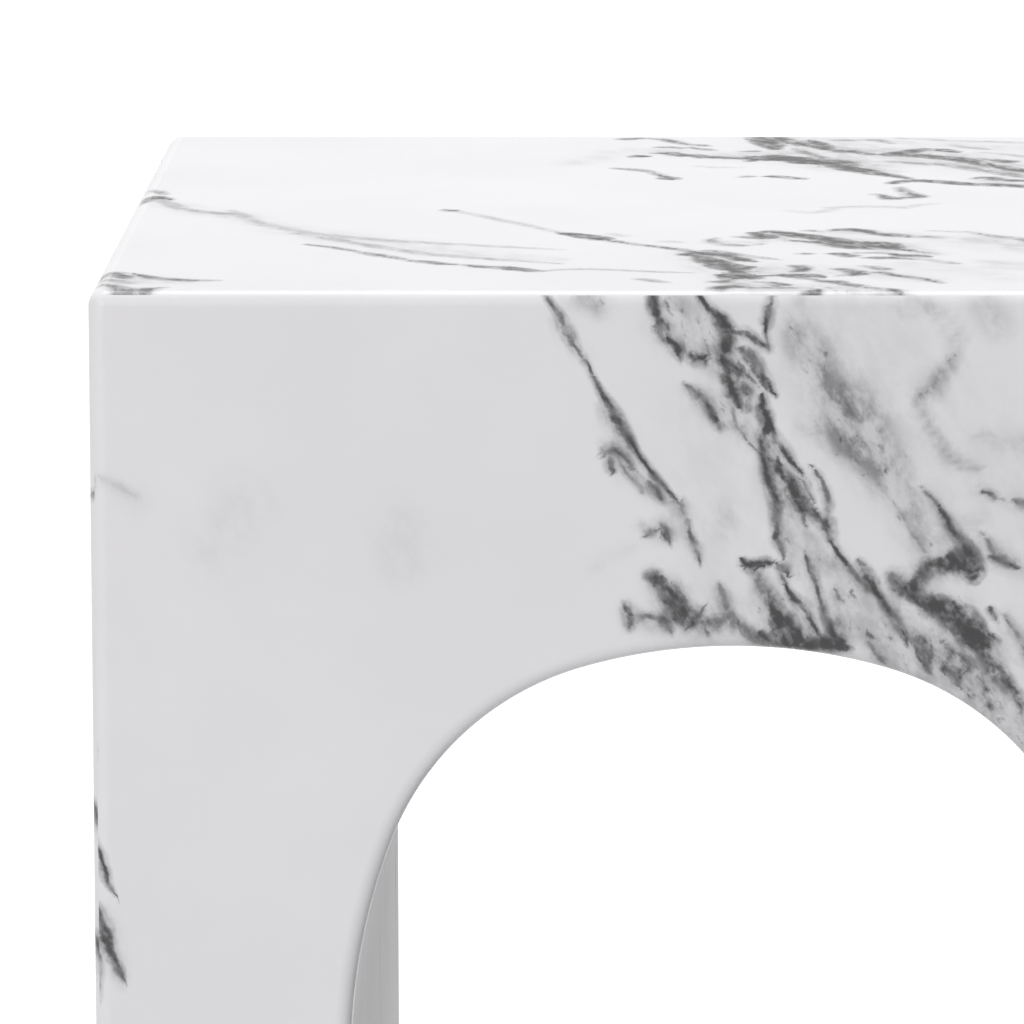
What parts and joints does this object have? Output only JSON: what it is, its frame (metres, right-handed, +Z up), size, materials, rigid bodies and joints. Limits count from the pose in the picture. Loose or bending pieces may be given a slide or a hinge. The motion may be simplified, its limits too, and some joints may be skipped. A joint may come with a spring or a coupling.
{
  "type": "square accent table with an arch",
  "caption": "Low square side table shaped as a block with rounded arrises, cut from front to back by a tall arch that leaves two wide legs, in a marble finish.",
  "frame": {"origin": "on the floor, under the middle of the table", "axes": "+Z up, -Y out of the front face, which is the one with the arch that the picture shows, +X to the right of someone facing it"},
  "size_m": [0.45, 0.45, 0.5],
  "materials": {
    "marble": "fibreboard under a smooth satin marble finish, white with grey veins",
    "plywood": "raw birch plywood",
    "fibreboard": "raw medium density fibreboard",
    "pine": "raw planed pine",
    "nylon": "moulded, matt",
    "felt": "pressed wool felt",
    "steel": "zinc plated"
  },
  "bodies": {
    "root": {"top_panel": "marble", "front_arch_panel": "marble", "back_arch_panel": "marble", "left_side_panel": "marble", "right_side_panel": "marble", "arch_soffit": "marble", "left_inner_wall": "marble", "right_inner_wall": "marble", "front_rib": "plywood", "rear_rib": "plywood", "left_base_plate": "fibreboard", "right_base_plate": "fibreboard", "front_top_cleat": "pine", "rear_top_cleat": "pine", "left_top_cleat": "pine", "right_top_cleat": "pine", "front_left_post": "pine", "front_right_post": "pine", "rear_left_post": "pine", "rear_right_post": "pine", "front_left_batten": "pine", "front_right_batten": "pine", "rear_left_batten": "pine", "rear_right_batten": "pine", "front_left_spline": "plywood", "front_right_spline": "plywood", "rear_left_spline": "plywood", "rear_right_spline": "plywood", "front_top_spline": "plywood", "rear_top_spline": "plywood", "left_top_spline": "plywood", "right_top_spline": "plywood", "front_left_glide": "nylon", "front_right_glide": "nylon", "rear_left_glide": "nylon", "rear_right_glide": "nylon", "front_left_pad": "felt", "front_right_pad": "felt", "rear_left_pad": "felt", "rear_right_pad": "felt", "cleat_screws": "steel", "base_screws": "steel", "glide_screws": "steel"}
  },
  "joints": []
}
